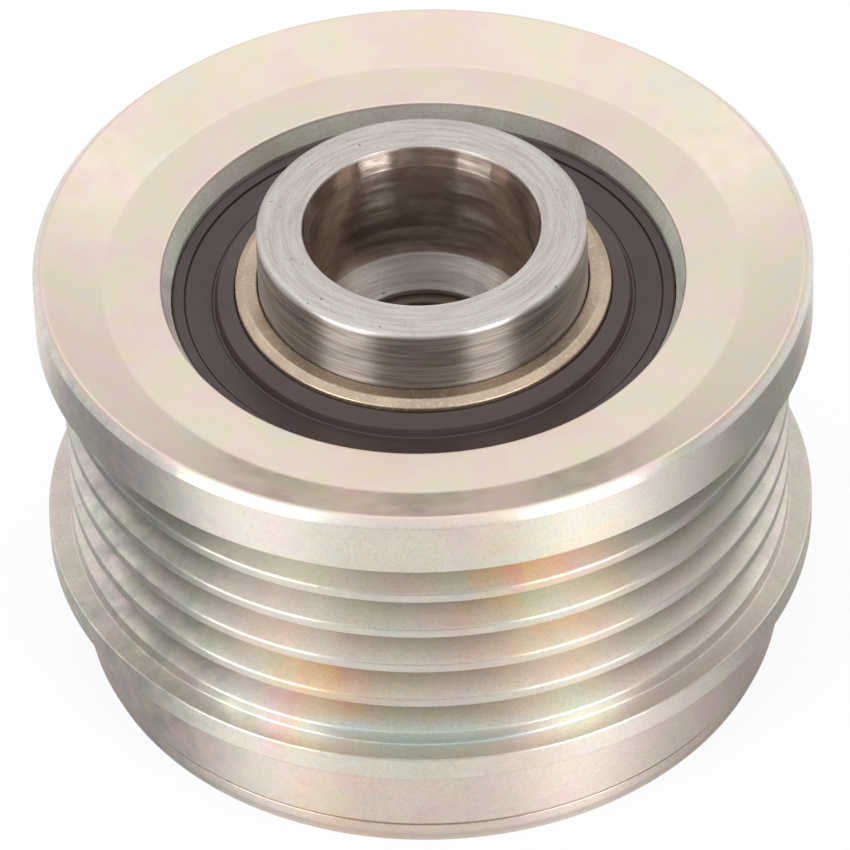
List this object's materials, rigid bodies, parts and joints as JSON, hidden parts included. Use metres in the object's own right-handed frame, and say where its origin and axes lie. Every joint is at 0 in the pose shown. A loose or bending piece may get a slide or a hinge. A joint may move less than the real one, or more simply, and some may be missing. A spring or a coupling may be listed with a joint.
{
  "type": "overrunning alternator pulley",
  "caption": "Ribbed steel belt pulley with a one-way roller clutch and sealed ball bearings inside, on a hub sleeve bored for an alternator shaft.",
  "frame": {"origin": "on the turning axis, at the front rim that the pulley stands on", "axes": "+Z along the turning axis, from the front rim to the hub's rear end that faces the alternator"},
  "size_m": [0.0584, 0.0584, 0.0385],
  "materials": {
    "zinc_plated_steel": "zinc plated and passivated, satin, with faint rainbow tints",
    "turned_steel": "bare steel with fine turning marks",
    "bearing_steel": "ground bearing steel, tan where it shows at the rear",
    "polished_steel": "polished balls and rollers",
    "seal_rubber": "satin black-brown moulded rubber",
    "cage_nylon": "natural moulded nylon",
    "spring_steel": "bright folded strip"
  },
  "bodies": {
    "pulley": {"pulley_shell": "zinc_plated_steel", "rear_outer_ring": "bearing_steel", "front_outer_ring": "bearing_steel", "rear_seal": "seal_rubber", "front_seal": "seal_rubber", "clutch_race": "bearing_steel"},
    "hub": {"hub_sleeve": "turned_steel", "rear_inner_ring": "bearing_steel", "front_inner_ring": "bearing_steel", "clutch_cam_ring": "bearing_steel", "clutch_cage": "cage_nylon", "clutch_roller_01": "polished_steel", "clutch_roller_02": "polished_steel", "clutch_roller_03": "polished_steel", "clutch_roller_04": "polished_steel", "clutch_roller_05": "polished_steel", "clutch_roller_06": "polished_steel", "clutch_roller_07": "polished_steel", "clutch_roller_08": "polished_steel", "clutch_spring_01": "spring_steel", "clutch_spring_02": "spring_steel", "clutch_spring_03": "spring_steel", "clutch_spring_04": "spring_steel", "clutch_spring_05": "spring_steel", "clutch_spring_06": "spring_steel", "clutch_spring_07": "spring_steel", "clutch_spring_08": "spring_steel"},
    "rear_cage": {"rear_ball_cage": "cage_nylon", "rear_ball_01": "polished_steel", "rear_ball_02": "polished_steel", "rear_ball_03": "polished_steel", "rear_ball_04": "polished_steel", "rear_ball_05": "polished_steel", "rear_ball_06": "polished_steel", "rear_ball_07": "polished_steel", "rear_ball_08": "polished_steel", "rear_ball_09": "polished_steel", "rear_ball_10": "polished_steel", "rear_ball_11": "polished_steel", "rear_ball_12": "polished_steel"},
    "front_cage": {"front_ball_cage": "cage_nylon", "front_ball_01": "polished_steel", "front_ball_02": "polished_steel", "front_ball_03": "polished_steel", "front_ball_04": "polished_steel", "front_ball_05": "polished_steel", "front_ball_06": "polished_steel", "front_ball_07": "polished_steel", "front_ball_08": "polished_steel", "front_ball_09": "polished_steel", "front_ball_10": "polished_steel", "front_ball_11": "polished_steel", "front_ball_12": "polished_steel"}
  },
  "joints": [
    {"name": "hub_spin", "type": "hinge", "parent": "pulley", "child": "hub", "pos_m": [0, 0, 0.0175], "axis": [0, 0, 1], "continuous": true},
    {"name": "rear_cage_spin", "type": "hinge", "parent": "pulley", "child": "rear_cage", "pos_m": [0, 0, 0.0271], "axis": [0, 0, 1], "continuous": true},
    {"name": "front_cage_spin", "type": "hinge", "parent": "pulley", "child": "front_cage", "pos_m": [0, 0, 0.0074], "axis": [0, 0, 1], "continuous": true}
  ],
  "couplings": [
    {"joint": "rear_cage_spin", "follows": "hub_spin", "ratio": 0.43716},
    {"joint": "front_cage_spin", "follows": "hub_spin", "ratio": 0.43716}
  ]
}
